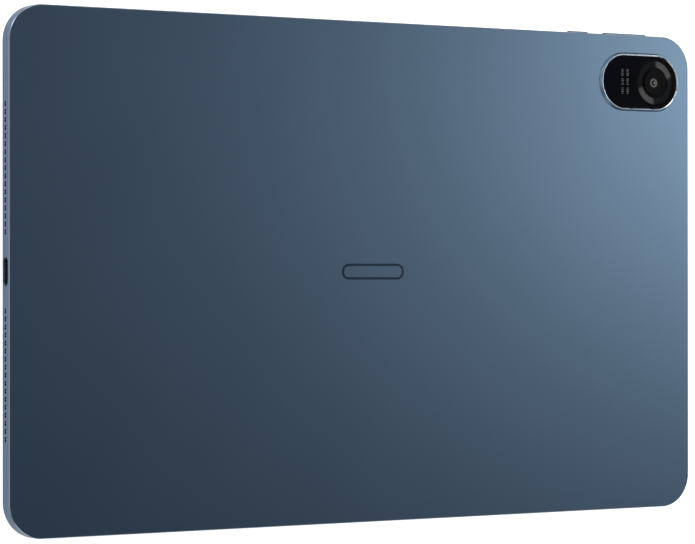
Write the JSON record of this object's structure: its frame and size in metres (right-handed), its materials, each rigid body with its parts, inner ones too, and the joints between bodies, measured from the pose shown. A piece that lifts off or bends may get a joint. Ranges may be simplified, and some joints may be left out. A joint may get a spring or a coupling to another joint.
{
  "type": "tablet computer",
  "caption": "Slate tablet with a flat metal back, a pill-shaped rear camera island, side keys, grille holes and a socket.",
  "frame": {"origin": "middle of the front glass's outer face, which the tablet lies on", "axes": "+X along the long side towards the camera's end, +Y along the short side towards the side keys, +Z out of the metal back"},
  "size_m": [0.2786, 0.1746, 0.0081],
  "materials": {
    "anodised_metal": "fine bead-blasted blue anodising with a satin sheen, bright chamfered edges",
    "polished_metal": "turned and polished, pale blue anodised",
    "black_glass": "polished cover glass, backed in black",
    "lens_glass": "coated lens, faint violet reflection",
    "trim_metal": "dark, turned in fine circles",
    "emblem_ink": "dark glossy inlay",
    "black_plastic": "fine matt moulded black",
    "display_layer": "switched-off display, very dark",
    "light_guide": "white light guide and film stack",
    "plate_metal": "rolled sheet, plain",
    "steel": "rolled stainless steel",
    "circuit_board": "green solder resist",
    "cell_foil": "dark grey laminated pouch foil",
    "flex_film": "amber film over copper",
    "mesh_wire": "fine black dust mesh"
  },
  "bodies": {
    "tablet": {"rear_cover": "anodised_metal", "back_emblem": "emblem_ink", "camera_ring": "polished_metal", "camera_glass": "black_glass", "camera_trim_ring": "trim_metal", "camera_module": "black_plastic", "camera_lens": "lens_glass", "camera_flex": "flex_film", "front_glass": "black_glass", "display_frame": "black_plastic", "lcd_panel": "display_layer", "backlight_unit": "light_guide", "front_camera": "black_plastic", "support_plate": "plate_metal", "display_flex": "flex_film", "power_switch": "steel", "volume_up_switch": "steel", "volume_down_switch": "steel", "key_flex": "flex_film", "key_bracket": "steel", "microphone": "steel", "usb_port": "steel", "usb_tongue": "black_plastic", "usb_board": "circuit_board", "main_board": "circuit_board", "processor_shield": "steel", "memory_shield": "steel", "main_board_screw_1": "steel", "main_board_screw_2": "steel", "main_board_screw_3": "steel", "main_board_screw_4": "steel", "usb_board_screw_1": "steel", "usb_board_screw_2": "steel", "battery_cell_left": "cell_foil", "battery_cell_right": "cell_foil", "battery_board": "circuit_board", "board_flex": "flex_film", "speaker_box_left_upper": "black_plastic", "speaker_mesh_left_upper": "mesh_wire", "speaker_driver_left_upper_1": "steel", "speaker_driver_left_upper_2": "steel", "speaker_box_left_lower": "black_plastic", "speaker_mesh_left_lower": "mesh_wire", "speaker_driver_left_lower_1": "steel", "speaker_driver_left_lower_2": "steel", "speaker_box_right_upper": "black_plastic", "speaker_mesh_right_upper": "mesh_wire", "speaker_driver_right_upper_1": "steel", "speaker_driver_right_upper_2": "steel", "speaker_box_right_lower": "black_plastic", "speaker_mesh_right_lower": "mesh_wire", "speaker_driver_right_lower_1": "steel", "speaker_driver_right_lower_2": "steel", "antenna_left": "black_plastic", "antenna_right": "black_plastic"},
    "power_key": {"power_key": "anodised_metal", "power_plunger": "black_plastic"},
    "volume_key": {"volume_key": "anodised_metal", "volume_up_plunger": "black_plastic", "volume_down_plunger": "black_plastic"}
  },
  "joints": [
    {"name": "power_press", "type": "slide", "parent": "tablet", "child": "power_key", "axis": [0, -1, 0], "range_m": [0, 0.00025], "stiffness_N_per_m": 4000},
    {"name": "volume_rock", "type": "hinge", "parent": "tablet", "child": "volume_key", "pos_m": [0.1112, 0.08553, 0.0043], "axis": [0, 0, 1], "range_deg": [-1.5, 1.5], "stiffness_Nm_per_rad": 0.4}
  ]
}
